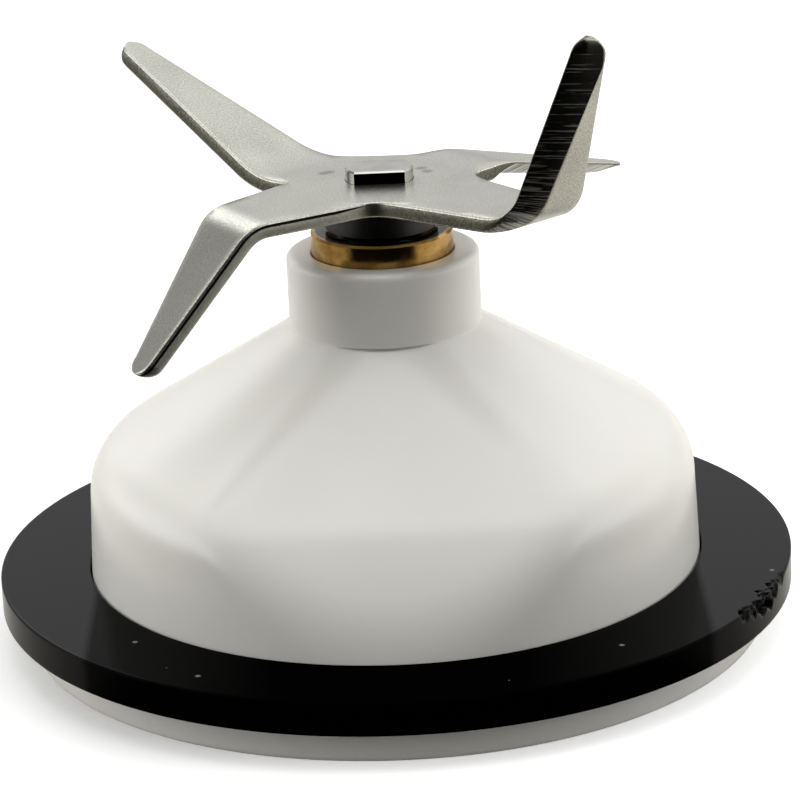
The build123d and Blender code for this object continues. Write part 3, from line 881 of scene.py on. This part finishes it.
# %% [markdown]
# ## The floor
# The part stands on white paper. The camera sees it as plain white with the part's own shadow, helped by a
# little glow, weaker on the left. Beside and behind the part, reflections see some of that glow too, so
# that metal shows the white background. All other light finds a duller cloth, greyer on the left, and a
# dark stretch ahead of the part, as in a room: that is what the ground bevels and the front of the base
# mirror.

# %% Floor material
smooth = {"interpolation_type": "SMOOTHSTEP"}
floor_material, tree = new_material("white_paper_floor")
place = add(tree, "TexCoord").outputs["Object"]
path = add(tree, "LightPath").outputs
away = add(tree, "VectorMath", {0: place}, operation="LENGTH")
toward = add(tree, "VectorMath", {0: place}, operation="NORMALIZE")
facing = add(tree, "VectorMath", {0: toward, 1: (0, -1, 0)}, operation="DOT_PRODUCT")
sector = add(tree, "MapRange", {"Value": facing, "From Min": 0.5, "From Max": 0.66}, **smooth)
ahead = add(tree, "MapRange", {"Value": away, "From Min": 34 * mm, "From Max": 43 * mm}, **smooth)
shade = add(tree, "Math", {0: sector, 1: ahead}, operation="MULTIPLY")
unseen = add(tree, "Math", {0: 1.0, 1: path["Is Camera Ray"]}, operation="SUBTRACT")
hidden = add(tree, "Math", {0: shade, 1: unseen}, operation="MULTIPLY")
sideways = add(tree, "SeparateXYZ", {0: place}).outputs["X"]
leftward = add(tree, "MapRange", {"Value": sideways, "From Min": -40 * mm, "From Max": -90 * mm}, **smooth)
cloth = add(tree, "Mix", {"Factor": leftward, "A": srgb("#D8D5CD"), "B": srgb("#B2AFA7")}, data_type="RGBA")
white = add(tree, "Mix", {"Factor": path["Is Camera Ray"], "A": cloth, "B": srgb("#F6F6F5")},
            data_type="RGBA")
tone = add(tree, "Mix", {"Factor": hidden, "A": white, "B": srgb("#0A0A0A")}, data_type="RGBA")
lift = add(tree, "MapRange", {"Value": sideways, "From Min": -32 * mm, "From Max": 0.0,
                              "To Min": 0.18, "To Max": 0.48}, **smooth)
clear = add(tree, "MapRange", {"Value": facing, "From Min": 0.15, "From Max": 0.45,
                               "To Min": 0.3, "To Max": 0.0}, **smooth)
shown = add(tree, "Math", {0: path["Is Glossy Ray"], 1: clear, 2: path["Is Camera Ray"]},
            operation="MULTIPLY_ADD")
strength = add(tree, "Math", {0: shown, 1: lift}, operation="MULTIPLY")
paper = add(tree, "BsdfDiffuse", {"Color": tone})
glow = add(tree, "Emission", {"Color": (1, 1, 1, 1), "Strength": strength})
add(tree, "OutputMaterial", {"Surface": add(tree, "AddShader", {0: paper, 1: glow})})
print("made", floor_material.name)

# %% [markdown]
# ## Lay the floor
# One square, far wider than the picture and a hair below the part, so that the two never share a plane.

# %% Floor
floor_half, floor_drop = 3.0, 0.02 * mm
signs = [(-1, -1), (1, -1), (1, 1), (-1, 1)]
floor_mesh = bpy.data.meshes.new("floor")
floor_mesh.from_pydata([(x * floor_half, y * floor_half, -floor_drop) for x, y in signs], [], [(0, 1, 2, 3)])
floor_mesh.materials.append(floor_material)
floor = bpy.data.objects.new("floor", floor_mesh)
bpy.context.scene.collection.objects.link(floor)
print("floor", 2 * floor_half, "m wide")

# %% [markdown]
# ## The tent
# The part stands in a white tent: bright above, dimmer low down, and open towards the camera, where the
# room is dark. That dark side is what the polished neck, the bush and the bevels mirror, so without it they
# would look like chalk. Lamps would each leave a spot in the metal, so the world paints the tent instead,
# by direction: height is the direction's Z, and facing is 1 towards the camera.

# %% Tent walls
world = bpy.data.worlds.new("white_tent")
bpy.context.scene.world = world
world.use_nodes = True
tree = world.node_tree
tree.nodes.clear()
way = add(tree, "TexCoord").outputs["Generated"]
height = add(tree, "SeparateXYZ", {0: way}).outputs["Z"]
level = add(tree, "VectorMath", {0: way, 1: (1, 1, 0)}, operation="MULTIPLY")
bearing = add(tree, "VectorMath", {0: level}, operation="NORMALIZE")
facing = add(tree, "VectorMath", {0: bearing, 1: (0, -1, 0)}, operation="DOT_PRODUCT")
sky = add(tree, "MapRange", {"Value": height, "From Min": 0.0, "From Max": 0.6,
                             "To Min": 0.55, "To Max": 1.2}, **smooth)
sector = add(tree, "MapRange", {"Value": facing, "From Min": 0.58, "From Max": 0.72}, **smooth)
under = add(tree, "MapRange", {"Value": height, "From Min": 0.7, "From Max": 1.0,
                               "To Min": 1.0, "To Max": 0.0}, **smooth)
room = add(tree, "Math", {0: sector, 1: under}, operation="MULTIPLY")
open_side = add(tree, "MapRange", {"Value": room, "To Min": 1.0, "To Max": 0.02})
walls = add(tree, "Math", {0: sky, 1: open_side}, operation="MULTIPLY")
print("tent walls hung")

# %% [markdown]
# ## Side boxes
# Two low boxes of light stand on the left and right. They light the skirt and the neck from the side, as
# in the photograph. They are stronger on the left, and weaker towards the back, where the white dome would
# otherwise clip.

# %% Side boxes
across = add(tree, "SeparateXYZ", {0: bearing}).outputs["X"]
beside = add(tree, "Math", {0: across}, operation="ABSOLUTE")
box_side = add(tree, "MapRange", {"Value": beside, "From Min": 0.64, "From Max": 0.8}, **smooth)
box_low = add(tree, "MapRange", {"Value": height, "From Min": 0.05, "From Max": 0.5,
                                 "To Min": 3.4, "To Max": 0.0}, **smooth)
uneven = add(tree, "MapRange", {"Value": across, "From Min": -0.5, "From Max": 0.5,
                                "To Min": 1.15, "To Max": 0.9})
forward_share = add(tree, "MapRange", {"Value": facing, "From Min": -0.6, "From Max": 0,
                                       "To Min": 0.45, "To Max": 1.1}, **smooth)
box_light = add(tree, "Math", {0: box_low, 1: uneven}, operation="MULTIPLY")
box_light = add(tree, "Math", {0: box_light, 1: forward_share}, operation="MULTIPLY")
boxes = add(tree, "Math", {0: box_side, 1: box_light, 2: 1.0}, operation="MULTIPLY_ADD")
light = add(tree, "Math", {0: walls, 1: boxes}, operation="MULTIPLY")
print("side boxes lit")

# %% [markdown]
# ## Panels
# Satin steel shows little but what it mirrors, so the blade's arms get panels in the tent where they
# look: one dimmer and two brighter than the wall. The last panel, above the camera, fills the front of
# the dome. Each has an aim, the cosines where it starts and is full, and a gain. The camera itself sees
# plain white.

# %% Panels
panels = [((-0.69, 0.53, 0.5), 0.94, 0.985, 0.3), ((-0.3, 0.76, 0.57), 0.958, 0.988, 2.2),
          ((0.4, 0.63, 0.67), 0.93, 0.985, 1.12), ((0, -0.36, 0.93), 0.74, 0.95, 1.75)]
for aim, rim, core, gain in panels:
    close_to = add(tree, "VectorMath", {0: way, 1: Vector(aim).normalized()}, operation="DOT_PRODUCT")
    panel = add(tree, "MapRange", {"Value": close_to, "From Min": rim, "From Max": core,
                                   "To Min": 1.0, "To Max": gain}, **smooth)
    light = add(tree, "Math", {0: light, 1: panel}, operation="MULTIPLY")
path = add(tree, "LightPath").outputs
seen = add(tree, "Mix", {"Factor": path["Is Camera Ray"], "A": light, "B": 1.0})
tent = add(tree, "Background", {"Color": (1, 1, 1, 1), "Strength": seen})
add(tree, "OutputWorld", {"Surface": tent})
print("tent lit, with", len(panels), "panels")

# %% [markdown]
# ## Camera
# The photograph was taken from a low angle with a long lens: the ellipses of the flange, gasket and neck
# fix where it stood, and a slight roll of the camera makes the part lean to one side.

# %% Camera
camera_place = Vector((1.03, -329.92, 133.34)) * mm
pitch, lean = math.radians(18.704), math.radians(-2.465)
focal_pixels, image_pixels = 3655.5, 800
forward = Vector((0, math.cos(pitch), -math.sin(pitch)))
level = Vector((1, 0, 0))
upright = Vector((0, math.sin(pitch), math.cos(pitch)))
right = level * math.cos(lean) + upright * math.sin(lean)
up = upright * math.cos(lean) - level * math.sin(lean)
lens = bpy.data.cameras.new("camera")
lens.sensor_width = 36
lens.lens = focal_pixels / image_pixels * lens.sensor_width
lens.clip_start = 0.01
camera = bpy.data.objects.new("camera", lens)
camera.matrix_world = Matrix.Translation(camera_place) @ Matrix((right, up, -forward)).transposed().to_4x4()
bpy.context.scene.collection.objects.link(camera)
bpy.context.scene.camera = camera
bpy.context.scene.view_settings.view_transform = "Standard"
print("lens", round(lens.lens, 1), "mm")
